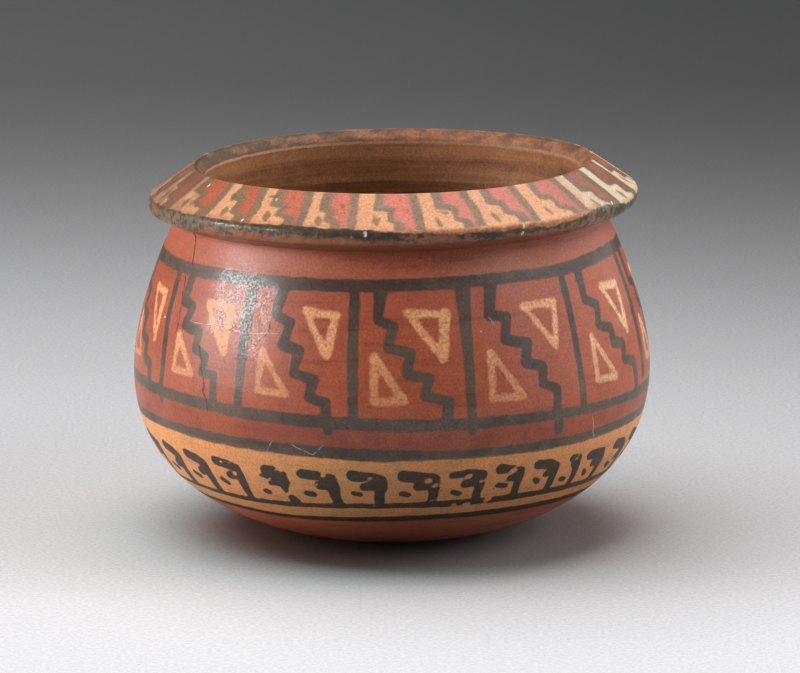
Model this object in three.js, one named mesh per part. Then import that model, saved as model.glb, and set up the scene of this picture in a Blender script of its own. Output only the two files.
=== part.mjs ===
// Miniature bowl of slipped and burnished clay: a globular wall on a flat foot, drawn in to a neck,
// with a thick bevelled rim band luted onto the neck and undercut below its edge.
// Millimetres, +Z up, origin at the centre of the foot's underside.
import * as THREE from 'three';

// Outside of the wall
const bellyRadius = 42; // widest point
const bellyHeight = 27.1; // of the widest point, above the foot
const footRadius = 13; // flat the bowl stands on
const bellyFullness = 2.29; // 2 is an ellipse, more is squarer
const neckRadius = 34.8; // where the rim band is luted on
const neckHeight = 51.6;
const shoulderFullness = 1.63; // 1 is a straight cone, more is rounder

// Inside of the wall
const wallThickness = 4.0; // at the belly
const floorThickness = 4.6; // at the middle of the foot
const neckWall = 3.8; // at the seam with the rim band

// Rim band, from the seam up
const undercutRise = 1.7; // seam to the edge's lower corner
const edgeRadius = 39.5; // outer edge, the band's widest point
const edgeDepth = 2.2; // thickness of the rounded outer edge
const bevelRise = 5.0; // painted slope, from the edge to the lip
const lipRadius = 32.2; // inner end of the slope
const throatRadius = 30.6; // narrowest point of the mouth
const throatDrop = 1.7; // lip to throat

// Finger-rounded corners of the rim band
const edgeRounding = 1.0;
const lipRounding = 0.5;
const throatRounding = 0.9;

// The rim sits a little askew, its +X side high; the foot stays level
const rimTilt = THREE.MathUtils.degToRad(1.1);

const facetsRound = 72;
const bellyFacets = 12;
const shoulderFacets = 9;
const cornerFacets = 4;

const edgeHeight = neckHeight + undercutRise;
const bevelHeight = edgeHeight + edgeDepth;
const rimHeight = bevelHeight + bevelRise;

const slippedClay = new THREE.MeshStandardMaterial({ color: 0x9c4a33, roughness: 0.42, metalness: 0 });
const rimSlip = new THREE.MeshStandardMaterial({ color: 0x5a3c2e, roughness: 0.5, metalness: 0 });

// Lower half of a section: a superellipse from startRadius up to the belly
function bellyCurve(radius, height, depth, startRadius) {
  const power = 2 / bellyFullness;
  const startAngle = Math.asin((startRadius / radius) ** (1 / power));
  const points = [];
  for (let i = 0; i <= bellyFacets; i++) {
    const angle = THREE.MathUtils.lerp(startAngle, Math.PI / 2, i / bellyFacets);
    const across = radius * Math.sin(angle) ** power;
    const below = depth * Math.max(Math.cos(angle), 0) ** power;
    points.push(new THREE.Vector2(across, height - below));
  }
  return points;
}

// Upper half of a section: drawn in from the belly to the neck, without the belly's own point
function shoulderCurve(fromRadius, toRadius) {
  const points = [];
  for (let i = 1; i <= shoulderFacets; i++) {
    const rise = i / shoulderFacets;
    const across = fromRadius - (fromRadius - toRadius) * rise ** shoulderFullness;
    points.push(new THREE.Vector2(across, THREE.MathUtils.lerp(bellyHeight, neckHeight, rise)));
  }
  return points;
}

function wallSection() {
  const footShare = (footRadius / bellyRadius) ** bellyFullness;
  const outerDepth = bellyHeight / (1 - footShare) ** (1 / bellyFullness);
  const outside = [
    new THREE.Vector2(0, 0),
    ...bellyCurve(bellyRadius, bellyHeight, outerDepth, footRadius),
    ...shoulderCurve(bellyRadius, neckRadius),
  ];
  const insideRadius = bellyRadius - wallThickness;
  const inside = [
    ...bellyCurve(insideRadius, bellyHeight, bellyHeight - floorThickness, 0),
    ...shoulderCurve(insideRadius, neckRadius - neckWall),
  ];
  return [...outside, ...inside.reverse()];
}

// A corner of a section, cut by an arc that is tangent to both of its sides
function roundedCorner(before, corner, after, radius) {
  const toBefore = before.clone().sub(corner);
  const toAfter = after.clone().sub(corner);
  const longest = Math.min(toBefore.length(), toAfter.length()) * 0.45;
  toBefore.normalize();
  toAfter.normalize();
  const halfAngle = Math.acos(toBefore.dot(toAfter)) / 2;
  const setback = Math.min(radius / Math.tan(halfAngle), longest);
  const arcRadius = setback * Math.tan(halfAngle);
  const inward = toBefore.clone().add(toAfter).normalize();
  const centre = corner.clone().addScaledVector(inward, arcRadius / Math.sin(halfAngle));
  const start = corner.clone().addScaledVector(toBefore, setback).sub(centre);
  const end = corner.clone().addScaledVector(toAfter, setback).sub(centre);
  const sweep = Math.atan2(start.cross(end), start.dot(end));
  const points = [];
  for (let i = 0; i <= cornerFacets; i++) {
    const angle = (sweep * i) / cornerFacets;
    points.push(start.clone().rotateAround(new THREE.Vector2(), angle).add(centre));
  }
  return points;
}

function rimSection() {
  const corners = [
    { at: new THREE.Vector2(neckRadius - neckWall, neckHeight), rounding: 0 },
    { at: new THREE.Vector2(neckRadius, neckHeight), rounding: 0 },
    { at: new THREE.Vector2(edgeRadius, edgeHeight), rounding: edgeRounding },
    { at: new THREE.Vector2(edgeRadius, bevelHeight), rounding: edgeRounding },
    { at: new THREE.Vector2(lipRadius, rimHeight), rounding: lipRounding },
    { at: new THREE.Vector2(throatRadius, rimHeight - throatDrop), rounding: throatRounding },
  ];
  const points = [];
  corners.forEach(({ at, rounding }, i) => {
    const before = corners[(i + corners.length - 1) % corners.length].at;
    const after = corners[(i + 1) % corners.length].at;
    points.push(...(rounding > 0 ? roundedCorner(before, at, after, rounding) : [at]));
  });
  points.push(points[0].clone());
  return points;
}

// Turns a section about +Z and leans it by the rim's tilt in proportion to height
function thrown(section) {
  const geometry = new THREE.LatheGeometry(section, facetsRound);
  geometry.rotateX(Math.PI / 2);
  const position = geometry.attributes.position;
  for (let i = 0; i < position.count; i++) {
    const z = position.getZ(i);
    position.setZ(i, z + (position.getX(i) * Math.tan(rimTilt) * z) / rimHeight);
  }
  geometry.computeVertexNormals();
  return geometry;
}

function piece(name, section, material) {
  const mesh = new THREE.Mesh(thrown(section), material);
  mesh.name = name;
  return mesh;
}

const bowl = new THREE.Group();
bowl.add(piece('bowl_body', wallSection(), slippedClay));
bowl.add(piece('rim_band', rimSection(), rimSlip));

export default bowl;
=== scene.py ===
# Miniature bowl: burnished red slip painted with steps, triangles and hooks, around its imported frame.
import math
import random

import bmesh
import bpy
import numpy as np
from mathutils import Matrix, Vector


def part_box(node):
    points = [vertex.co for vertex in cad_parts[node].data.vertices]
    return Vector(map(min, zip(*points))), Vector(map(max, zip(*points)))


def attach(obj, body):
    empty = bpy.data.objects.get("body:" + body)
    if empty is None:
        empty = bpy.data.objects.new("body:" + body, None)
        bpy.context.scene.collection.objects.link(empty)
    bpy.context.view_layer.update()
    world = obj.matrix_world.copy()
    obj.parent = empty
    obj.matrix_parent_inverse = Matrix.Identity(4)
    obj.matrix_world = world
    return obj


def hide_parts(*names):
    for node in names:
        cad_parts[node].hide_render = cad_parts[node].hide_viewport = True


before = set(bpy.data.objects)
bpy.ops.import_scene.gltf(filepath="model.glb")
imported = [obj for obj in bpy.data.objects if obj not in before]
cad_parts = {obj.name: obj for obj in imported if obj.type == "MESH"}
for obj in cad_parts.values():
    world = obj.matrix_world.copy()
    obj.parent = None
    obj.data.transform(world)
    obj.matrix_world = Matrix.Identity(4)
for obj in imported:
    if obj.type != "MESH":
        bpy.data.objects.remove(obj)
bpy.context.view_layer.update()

# One drawing millimetre in metres, taken from the wall's real width
bellyRadius = 42.0
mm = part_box("bowl_body")[1].x / bellyRadius
print("frame loaded, one drawing millimetre is", round(mm, 6), "m")


# Shape of the vessel, in drawing millimetres

vessel = {
    "bellyHeight": 27.1,
    "bellyFullness": 2.29,  # 2 is an ellipse, more is squarer
    "footRadius": 13.0,
    "neckRadius": 34.8,
    "neckHeight": 51.6,
    "shoulderFullness": 1.63,
    "wall": 4.0,
    "floor": 4.6,
    "neckWall": 3.8,
    "seamEase": 9.0,  # the hollow runs smoothly into the rim over this height
    "rimHeight": 60.5,
    "lean": 1.1,  # degrees, the +X side of the rim is high
    "around": 640,  # faces in a full turn, a multiple of 8
    "sharpCorner": 35,  # degrees, below this a corner is shaded smooth
    "wobble": 0.0035,  # hand-made unevenness, as a share of the radius, inwards only
    # Its waves: how many go round, how far each twists with the height, where it starts, its share
    "wobbleWaves": [(2, 0, 0.7, 0.32), (3, 2, 2.1, 0.22), (5, 5, -1.3, 0.16), (9, 9, 0, 0.1),
                    (3, 11, 0, 0.12), (-4, 17, 1, 0.08)],
    "wobbleAtSides": 0.15,  # what is left of it at the two sides, where the width is measured
    "wobbleFrom": 3.0,  # it grows over this height, so that the foot stays flat and round
    "lipSag": 0.25,  # how far the rim dips between its high spots
    "lipSags": 3,
    "offCentre": [(0, 0), (27, 0), (45, -0.2), (51.6, -0.26), (54.5, 0.22)],  # height, then shift towards +X
    "turn": 0.3,  # degrees that the painting is turned to the left
}


# Radii below and above the belly's height, for the outside or the hollow
def bellyCurves(height, widest, neck, depth):
    span = vessel["neckHeight"] - vessel["bellyHeight"]
    below = np.clip((vessel["bellyHeight"] - height) / depth, 0, 1)
    above = np.clip((height - vessel["bellyHeight"]) / span, 0, 1)
    low = widest * (1 - below ** vessel["bellyFullness"]) ** (1 / vessel["bellyFullness"])
    return low, widest - (widest - neck) * above ** vessel["shoulderFullness"]


def wallRadius(height):
    footShare = (vessel["footRadius"] / bellyRadius) ** vessel["bellyFullness"]
    depth = vessel["bellyHeight"] / (1 - footShare) ** (1 / vessel["bellyFullness"])
    low, high = bellyCurves(height, bellyRadius, vessel["neckRadius"], depth)
    return np.where(height < vessel["bellyHeight"], low, high)


def hollowRadius(height):
    neck, depth = vessel["neckRadius"] - vessel["neckWall"], vessel["bellyHeight"] - vessel["floor"]
    low, high = bellyCurves(height, bellyRadius - vessel["wall"], neck, depth)
    ease = np.sin(np.clip((vessel["neckHeight"] - height) / vessel["seamEase"], 0, 1) * math.pi / 2)
    return np.where(height < vessel["bellyHeight"], low, neck + (high - neck) * ease)


def evenly(points, spacing):
    points = np.array(points, float)
    run = runAlong(points)
    count = max(int(round(run[-1] / spacing)), 1)
    marks = np.linspace(0, run[-1], count + 1)
    return np.stack([np.interp(marks, run, points[:, i]) for i in (0, 1)], 1)


def chain(*parts):
    outline = [tuple(p) for p in parts[0]]
    for part in parts[1:]:
        outline += [tuple(p) for p in part[1:]]
    return outline


def runAlong(outline):
    steps = np.hypot(*np.diff(np.array(outline), axis=0).T)
    return np.concatenate([[0], np.cumsum(steps)])


def unevenness(angle, height):
    turn = np.radians(angle)
    rise = height / vessel["rimHeight"]
    wave = sum(np.sin(count * turn + twist * rise + start) * share
               for count, twist, start, share in vessel["wobbleWaves"])
    atSides = vessel["wobbleAtSides"]
    return (0.5 + 0.5 * np.clip(wave, -1, 1)) * (atSides + (1 - atSides) * np.cos(turn) ** 2)


# Spin makes its faces in an order that differs from run to run, so they are sorted by their lowest corners
def placeInOrder(face, count):
    lowest, second = sorted(vert.index for vert in face.verts)[:2]
    return lowest * count + second


def spinOutline(name, outline, closed):
    shell = bmesh.new()
    along = shell.verts.layers.float.new("along")
    ring = [shell.verts.new((radius * mm, 0, height * mm)) for radius, height in outline]
    for vert, run in zip(ring, runAlong(outline)):
        vert[along] = run
    pairs = list(zip(ring, ring[1:])) + ([(ring[-1], ring[0])] if closed else [])
    edges = [shell.edges.new(pair) for pair in pairs]
    bmesh.ops.spin(shell, geom=ring + edges, cent=(0, 0, 0), axis=(0, 0, 1), dvec=(0, 0, 0),
                   angle=math.pi / 4, steps=vessel["around"] // 8, use_merge=False, use_duplicate=False)
    shell.verts.index_update()
    shell.faces.sort(key=lambda face: placeInOrder(face, len(shell.verts)))
    for turn in (math.pi / 4, math.pi / 2, math.pi):  # an eighth of the turn, doubled three times
        again = bmesh.ops.duplicate(shell, geom=shell.verts[:] + shell.edges[:] + shell.faces[:])["geom"]
        bmesh.ops.rotate(shell, cent=(0, 0, 0), matrix=Matrix.Rotation(turn, 3, "Z"),
                         verts=[part for part in again if isinstance(part, bmesh.types.BMVert)])
    bmesh.ops.remove_doubles(shell, verts=shell.verts, dist=1e-7)  # where the eighths meet
    bmesh.ops.recalc_face_normals(shell, faces=shell.faces)
    for face in shell.faces:
        face.smooth = True
    for edge in shell.edges:
        edge.smooth = edge.calc_face_angle(0) < math.radians(vessel["sharpCorner"])
    mesh = bpy.data.meshes.new(name)
    shell.to_mesh(mesh)
    shell.free()
    return linkObject(name, mesh)


def linkObject(name, data):
    thing = bpy.data.objects.new(name, data)
    bpy.context.scene.collection.objects.link(thing)
    return thing


# Where every point is on the undeformed vessel, and how far along its outline
def readPlaces(piece):
    mesh = piece.data
    corners = np.zeros(len(mesh.vertices) * 3, np.float32)
    mesh.vertices.foreach_get("co", corners)
    corners = corners.reshape(-1, 3).astype(float) / mm
    run = np.zeros(len(mesh.vertices), np.float32)
    mesh.attributes["along"].data.foreach_get("value", run)
    return {
        "angle": np.degrees(np.arctan2(corners[:, 0], -corners[:, 1])) + vessel["turn"],  # 0 faces the camera
        "radius": np.hypot(corners[:, 0], corners[:, 1]),
        "height": corners[:, 2].copy(),
        "along": run.astype(float),
        "corners": corners,
    }


def shapeByHand(piece, spots):
    corners = spots["corners"]
    rise = np.clip(spots["height"] / vessel["rimHeight"], 0, 1)
    grown = np.clip(spots["height"] / vessel["wobbleFrom"], 0, 1)
    corners[:, :2] *= (1 - vessel["wobble"] * unevenness(spots["angle"], spots["height"]) * grown)[:, None]
    dip = 0.5 + 0.5 * np.sin(np.radians(spots["angle"]) * vessel["lipSags"] + 0.4)
    corners[:, 2] -= vessel["lipSag"] * dip * rise ** 6  # only the topmost part sags
    corners[:, 0] += np.interp(spots["height"], *zip(*vessel["offCentre"]))
    lean = math.tan(math.radians(vessel["lean"])) / vessel["rimHeight"]
    corners[:, 2] += corners[:, 0] * lean * corners[:, 2]  # the foot stays level
    piece.data.vertices.foreach_set("co", (corners * mm).ravel().astype(np.float32))
    piece.data.update()


# Painting: every mark is a signed distance in mm, positive inside the paint

painting = {
    "farOff": -9.0,  # what a mark says far from itself
    "limit": 2.0,  # distances are cut off at this
    "strokeReach": 24,  # nothing further than this to either side of a mark's first point is worked out
    "patchReach": 14,
    "hairReach": 0.9,  # a thin line's nearness falls to 0 over this
    "driftSpan": 19,  # degrees over which a value that changes round the bowl is evened out
}


def unpainted(spots):
    return np.full(len(spots["angle"]), painting["farOff"])


def limited(field):
    return np.clip(field, -painting["limit"], painting["limit"])


def addPaint(piece, name, values):
    layer = piece.data.attributes.new(name, "FLOAT", "POINT")
    layer.data.foreach_set("value", values.astype(np.float32))


def sideways(spots, angle):
    turn = (spots["angle"] - angle + 180) % 360 - 180
    return np.radians(turn) * spots["radius"]


def nearby(spots, angle, reach):
    near = np.abs(sideways(spots, angle)) < reach
    close = {key: spots[key][near] for key in ("angle", "radius", "climb")}
    return near, {**close, "climbAt": spots["climbAt"]}


# Distance to the line between two marks, how far along it that is, and whether it is on the right
def toLine(spots, start, end):
    (a0, h0), (a1, h1) = start, end
    x, y = sideways(spots, a0), spots["climb"] - spots["climbAt"](h0)
    dx, dy = np.radians(a1 - a0) * spots["radius"], spots["climbAt"](h1) - spots["climbAt"](h0)
    t = np.clip((x * dx + y * dy) / (dx * dx + dy * dy + 1e-9), 0, 1)
    return np.hypot(x - t * dx, y - t * dy), t, x * dy > y * dx


def stroke(spots, marks):
    field = unpainted(spots)
    near, close = nearby(spots, marks[0][0], painting["strokeReach"])
    best = field[near]
    for (a0, h0, w0), (a1, h1, w1) in zip(marks, marks[1:]):
        distance, t, right = toLine(close, (a0, h0), (a1, h1))
        best = np.maximum(best, (w0 + (w1 - w0) * t) / 2 - distance)
    field[near] = best
    return field


def strokes(spots, lines):
    return merge(*[stroke(spots, line) for line in lines])


# Thin lines as two fields: the signed distance to either side, and 1 on the line falling to 0 a little away
def hairlines(spots, lines):
    side, nearest = -unpainted(spots), -unpainted(spots)
    for line in lines:
        for start, end in zip(line, line[1:]):
            distance, t, right = toLine(spots, start, end)
            closer = distance < nearest
            nearest = np.where(closer, distance, nearest)
            side = np.where(closer, np.where(right, distance, -distance), side)
    return limited(side), np.clip(1 - nearest / painting["hairReach"], 0, 1)


def addHairlines(piece, spots, name, outside, lines, hollowLines):
    (side, near), (hollowSide, hollowNear) = hairlines(spots, lines), hairlines(spots, hollowLines)
    addPaint(piece, name + "Side", np.where(outside, side, hollowSide))
    addPaint(piece, name + "Near", np.where(outside, near, hollowNear))


def patch(spots, corners, rounding):
    middle = sum(a for a, level in corners) / len(corners)
    field = unpainted(spots)
    near, close = nearby(spots, middle, painting["patchReach"])
    x, y = sideways(close, middle), close["climb"]
    across = [np.radians(a - middle) * close["radius"] for a, level in corners]
    up = [float(spots["climbAt"](level)) for a, level in corners]
    distance = np.full(len(x), 99.0)
    inside = np.zeros(len(x), bool)
    for i in range(len(corners)):
        ax, bx, ay, by = across[i - 1], across[i], up[i - 1], up[i]
        t = np.clip(((x - ax) * (bx - ax) + (y - ay) * (by - ay)) / ((bx - ax) ** 2 + (by - ay) ** 2), 0, 1)
        distance = np.minimum(distance, np.hypot(x - ax - t * (bx - ax), y - ay - t * (by - ay)))
        if ay != by:
            inside ^= ((ay > y) != (by > y)) & (x < (bx - ax) * (y - ay) / (by - ay) + ax)
    field[near] = np.where(inside, distance, -distance) + rounding
    return field


def merge(*fields):
    return np.maximum.reduce(fields)


# A value given at some angles round the bowl, evened out between them
def drift(spots, knots):
    knots = sorted(knots)
    angles = np.array([a for a, value in knots], float)
    values = np.array([value for a, value in knots], float)
    rounds = np.arange(-360, 720)  # three turns, so that the ends meet
    loop = np.interp(rounds % 360, np.concatenate([angles - 360, angles, angles + 360]), np.tile(values, 3))
    window = np.hanning(painting["driftSpan"])
    soft = np.convolve(loop, window / window.sum(), "same")[360:720]
    return np.interp(spots["angle"] % 360, np.arange(0, 360), soft, period=360)


def belt(spots, centre, width):
    middle = spots["climbAt"](drift(spots, centre))
    return drift(spots, width) / 2 - np.abs(spots["climb"] - middle)


# Wall of the bowl

body = {
    "paintedLow": 7.0,  # the fine rings run between these heights
    "paintedHigh": 48.6,
    "fineSpacing": 0.46,
    "coarseSpacing": 1.7,
    "footSpacing": 4,
    "insideSpacing": 2.6,
    "seed": 41,
    "firstStep": 2.2,  # brush widths of a panel's stepped line
    "stepBrush": (1.5, 1.85),
    "backLoose": 0.7,  # how far a repeat at the back strays from its drawing, in degrees and nearly in mm
    "hookLoose": 0.35,
    "buffGap": (0.5, 0.3),  # buff paint stops this far inside the line above it and the line below
}

bands = {  # centre line and width in mm, at angles around the bowl, 0 at the front
    "upper": ([(0, 46.6), (25, 46.8), (45, 46.6), (70, 47.2), (120, 46.7), (200, 46.4), (290, 46.4),
               (320, 46.5)],
              [(0, 2.1), (30, 1.9), (60, 2.1), (140, 1.8), (220, 2.2), (300, 2.1)]),
    "lower": ([(5, 25.3), (25, 25.3), (50, 25.0), (75, 24.7), (130, 25.2), (200, 26.2), (285, 26.9),
               (315, 26.6), (335, 26.0), (352, 25.7)],
              [(0, 2.1), (20, 1.8), (60, 1.5), (120, 1.9), (220, 2.1), (310, 1.9), (345, 2.1)]),
    "shelf": ([(5, 20.5), (15, 20.35), (40, 20.35), (50, 20.5), (58, 20.75), (140, 20.9), (230, 20.6),
               (300, 21.45), (320, 21.2), (340, 21.0), (350, 20.7), (358, 20.45)],
              [(358, 2.35), (5, 1.85), (15, 1.55), (25, 1.75), (60, 1.7), (160, 1.8), (300, 1.55),
               (310, 1.85), (350, 2.1)]),
    "ground": ([(5, 11.55), (20, 11.6), (40, 11.65), (58, 11.45), (150, 11.2), (230, 10.9), (300, 10.9),
                (320, 10.65), (330, 10.7), (340, 11.0), (350, 11.3)],
               [(355, 1.3), (5, 1.3), (10, 1.65), (40, 1.55), (60, 1.4), (200, 1.3), (300, 1.1), (320, 1.3)]),
    "base": ([(0, 8.7), (10, 8.95), (40, 9.0), (60, 8.8), (150, 8.4), (240, 8.2), (310, 8.3), (330, 8.0),
              (350, 8.5)],
             [(0, 1.7), (40, 1.8), (60, 1.6), (180, 1.5), (310, 1.3), (330, 1.25), (350, 1.5)]),
}

# Each panel is drawn from its own left-hand line: degrees to the right, height, brush width
panelDrawings = [
    {"line": [(0, 46, 1.5), (0.5, 36, 1.5), (1, 26, 1.4)],
     "steps": [(6, 46), (5.5, 41.2), (10, 40.6), (9, 37.6), (14, 37), (13.5, 34.2), (18.2, 33.4),
               (18.6, 30.8), (22.5, 30.2), (23, 26.5)],
     "upper": [(16.2, 42.1, 1.2), (23, 41.8, 1.4), (23.1, 34.5, 1.1)],
     "lower": [(8.2, 36.8, 1.2), (7.5, 30.6, 1.1), (14.5, 30.7, 1)]},
    {"line": [(-1, 46, 1.6), (0, 38, 1.5), (1.5, 32, 1.5), (1.3, 25.3, 1.3)],
     "steps": [(5.8, 46), (5.5, 41.6), (9.5, 41.1), (8, 38.1), (13.5, 37.5), (13.4, 35), (17, 34),
               (16.3, 31.5), (20.2, 31.4), (20.2, 27)],
     "upper": [(14.6, 42.2, 1.15), (22.5, 41.9, 1.5), (22, 35.2, 1.15)],
     "lower": [(6.6, 36.4, 1.2), (6.2, 30.9, 1.1), (13, 30.9, 1.05)]},
    {"line": [(-0.1, 46, 2.2), (0.2, 36, 1.9), (0, 27, 1.4)],
     "steps": [(8.5, 46), (7.4, 41.8), (11.4, 40.6), (10, 37.4), (14.2, 36.6), (13.1, 33.2), (18, 32.3),
               (17, 29.7), (20.7, 28.8), (21.2, 24.3)],
     "upper": [(15, 42.6, 1.25), (22.3, 42.1, 1.4), (20.6, 36.2, 1.15)],
     "lower": [(5.4, 36.2, 1.05), (4.9, 30.1, 1.1), (11.8, 29.8, 0.95)]},
    {"line": [(0, 46, 1.7), (-0.1, 38, 1.8), (0.2, 27.2, 1.7)],
     "steps": [(6.2, 46), (5.4, 41.5), (8.9, 40.6), (7.9, 37.3), (12.7, 36.6), (11.7, 33.3),
               (16.6, 32.6), (15.5, 30), (20.7, 28.9), (20.4, 26.5)],
     "upper": [(12.4, 42.5, 1.3), (20.9, 42.2, 1.65), (19.9, 35.6, 1.15)],
     "lower": [(4.9, 35.9, 1.4), (4.7, 29.2, 1.2), (11.2, 29.2, 1.3)]},
    {"line": [(0.1, 45.4, 2.6), (-0.1, 41, 2), (-0.1, 30, 1.6), (0.2, 24.2, 1.5)],
     "steps": [(7.3, 46), (5.9, 41.5), (10.1, 41), (9, 37.6), (14.5, 36.8), (13.4, 33.8), (17.7, 33),
               (17.3, 30.3), (21, 29.2), (21, 26), (21.7, 22.6)],
     "upper": [(15, 42.3, 1.35), (23.8, 42.2, 0.95), (22.2, 35.6, 0.95)],
     "lower": [(5.1, 35.9, 1.3), (4.8, 29, 1.2), (12.3, 28.7, 1.05)]},
    {"line": [(0, 46, 1.5), (-0.4, 34, 1.4), (0.3, 26, 1.5)],
     "steps": [(6.5, 46), (5.9, 41.5), (10.2, 40.4), (8.7, 37.3), (13.5, 36.3), (13.3, 34), (17.7, 33.5),
               (16.9, 31), (22, 30), (23.2, 25.5)],
     "upper": [(14, 42.6, 1.35), (22, 42.3, 1.15), (21.3, 35, 1)],
     "lower": [(5.2, 35.8, 1.15), (5.2, 29.2, 1.2), (12.4, 28.9, 1)]},
]
frontPanels = [-90, -62, -34.7, -8.2, 17.5, 46]  # where the drawings above stand, left to right
backPanels = [(74, 3), (102, 1), (130, 4), (158, 0), (186, 5), (214, 2), (242, 3)]  # and which is used again

# Hooks of the lower band, each a few brush strokes: degrees from the front, height, brush width
drawnHooks = [
    [[(-64.3, 17.1, 1.9), (-60.4, 16.6, 2), (-58.9, 15.8, 2.2), (-58.7, 13.8, 1.9), (-58.5, 11.3, 1.6)],
     [(-61.2, 14.4, 1.7), (-59.6, 15, 2)], [(-65, 13.8, 1.2), (-63.4, 13.3, 1.2)]],
    [[(-53.9, 17.1, 1.9), (-50, 16.6, 2), (-48.3, 15.8, 2.2), (-48, 13.8, 1.9), (-47.8, 11.3, 1.6)],
     [(-50.6, 14.4, 1.7), (-49, 15, 2)], [(-54.4, 13.8, 1.2), (-52.8, 13.3, 1.2)]],
    [[(-43.5, 17.1, 1.9), (-40.5, 16.9, 1.9), (-37.8, 16.4, 2), (-37.2, 14.8, 1.9), (-37.2, 11.4, 1.6)],
     [(-40.4, 14.9, 1.6), (-38.6, 15.2, 2)], [(-43.9, 13.8, 1.2), (-42.5, 13.3, 1.2)]],
    [[(-29.2, 16.9, 2), (-27.6, 16.8, 2.3), (-26.6, 15.7, 2.7), (-25.4, 15, 2), (-25.6, 13.3, 0.9)],
     [(-24.9, 16.5, 1.1), (-24.8, 15.2, 1.4)], [(-31.2, 15.8, 0.3), (-29.6, 16, 1.5)],
     [(-29, 14.6, 0.9), (-27, 14.9, 1.6)],
     [(-24.5, 12.1, 1.6), (-23.9, 11.5, 1.7)], [(-31, 12.9, 1.3), (-30.4, 12.8, 1.3)]],
    [[(-20.3, 16.9, 1.9), (-16.5, 16.7, 1.9), (-13.6, 16.3, 2), (-13.2, 14.6, 2.2), (-13.2, 13.2, 1.8),
      (-12.6, 11.4, 1.5)],
     [(-16.4, 14.9, 1.8), (-14.5, 15.1, 2.2)], [(-19.9, 13.35, 1.35), (-18.6, 13.25, 1.3)]],
    [[(-8.6, 17, 2), (-3.4, 16.6, 2), (-2.2, 16.2, 1.9), (-2.3, 14.8, 2), (-2.5, 13.6, 1.7),
      (-2.6, 11.4, 1.5)],
     [(-6, 14.95, 1.6), (-4, 15.2, 1.9)], [(-8.7, 13.8, 1.05), (-7.2, 13.5, 1.05)]],
    [[(3, 17, 2.3), (6.5, 16.7, 2.2), (9.9, 16.3, 1.9), (9.9, 14.8, 2), (10.1, 13.5, 1.6), (9.9, 12.2, 1.5)],
     [(6.4, 15, 1.9), (8.4, 15.2, 1.9)], [(2.6, 13.8, 1.2), (4.2, 13.5, 1.2)]],
    [[(14.1, 16.8, 1.4), (17.5, 17, 1.5), (20.7, 16.6, 2), (20.8, 15, 1.9), (20.7, 13.6, 1.45),
      (20.9, 12, 1.4)],
     [(17.3, 15.1, 1.7), (19.2, 15.4, 1.9)], [(14.8, 13.75, 1.15), (16.1, 13.4, 1.05)]],
    [[(25.4, 17.2, 1.9), (27.5, 17, 1.6), (30.8, 16.6, 1.5), (30.8, 15.4, 1.6), (30.7, 14.2, 1.5),
      (31.2, 12.3, 1.5)],
     [(28.4, 15.4, 1.5), (30, 15.3, 1.6)], [(25.8, 14.35, 1.1), (27.7, 14, 1.1)]],
    [[(35.4, 17.1, 1.8), (38.5, 16.9, 1.8), (40.6, 16.3, 1.8), (40.9, 14.8, 1.6), (41.2, 12.2, 1.4)],
     [(38.6, 15.2, 1.5), (40, 15.4, 1.6)], [(35.5, 14.5, 0.9), (36.8, 13.9, 1.1)]],
    [[(45.5, 17, 1.4), (47.8, 16.8, 1.6), (48, 15.6, 1.8), (48.5, 14.2, 1.5), (48.8, 12.3, 1.3)],
     [(46.2, 16.2, 1), (47.4, 15.6, 1.3)], [(44.3, 13.7, 1.1), (45.6, 13.4, 1.1)]],
    [[(52.2, 16.8, 1.9), (56.8, 16.6, 2), (57.6, 15.4, 2), (57.9, 13.6, 1.4), (58, 12.2, 1.3)],
     [(54.9, 15.1, 1.5), (56.5, 15.2, 1.8)], [(52.2, 14.1, 0.9), (53.5, 13.4, 1)]],
]
backHooks = 20  # how many more run round the back, from the whole ones above
wholeHooks = [1, 2, 4, 5, 6, 7, 8, 9, 11]
lostPaint = [(-15.2, 16.9, 0.7), (-4.9, 16.6, 0.55), (8.5, 16.1, 0.95), (10.2, 15.2, 0.8),
             (17.8, 16.5, 0.85), (21, 15.4, 0.5), (28.7, 16.7, 1), (-38.8, 15.4, 0.7),
             (-41.8, 17.2, 0.5), (24.2, 11.8, 1.1), (18.8, 11.2, 1), (-4.1, 11.5, 0.4), (-17.4, 15, 0.4),
             (9.8, 12.3, 0.5), (15.6, 11.4, 0.5), (47, 16.9, 0.4), (-26.4, 17.3, 0.5), (-39.6, 17.1, 0.35)]

# Cracks and scratch lines in the wall, outside and then in the hollow, with a painted highlight edge among
# the outside ones: degrees from the front, height
wallCracks = [
    [(-63.8, 52), (-61.5, 51.2), (-60.4, 50.1), (-59.5, 49.1), (-58.5, 47.5)],
    [(-59.2, 44.9), (-58.6, 43.4), (-58, 41.6), (-57.2, 39.2), (-56.8, 38), (-57.1, 36.8)],
    [(-47.2, 34.9), (-46.6, 33.6), (-46, 31.9), (-44.9, 30.4), (-44.4, 29.2), (-45, 28.6), (-43.8, 27.6),
     (-43.4, 25.9)],
    [(-28.1, 40.3), (-28.2, 39.2), (-28.5, 38.9)],
    [(-38.9, 38.7), (-37.9, 39)],
    [(118, 49), (119.5, 44), (119, 40), (121, 37)],
    [(-128, 33), (-126.5, 29), (-127.2, 26)],
]
# The first three lines, about 39 mm high on the left shoulder, are a painted highlight: the pale lower edge
# of the lamp's reflection; the rest are real scratch lines
wallScratchesAndHighlightEdge = [
    [(-45.2, 39.4), (-40.4, 39.1), (-35.2, 38.5)],
    [(-32.8, 38.5), (-30.1, 38.8), (-26.9, 38.9)],
    [(-51.8, 38.8), (-48.8, 38.8), (-44.5, 39)],
    [(-21.7, 21.7), (-17, 20.3), (-15, 21.8)],
    [(-28, 20.4), (-26.7, 21.8)],
    [(49.6, 23.2), (51, 20)],
    [(23.6, 40.9), (24, 40.5)],
    [(140, 30), (146, 29.2)],
    [(-150, 21), (-143, 20.2)],
]
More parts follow.
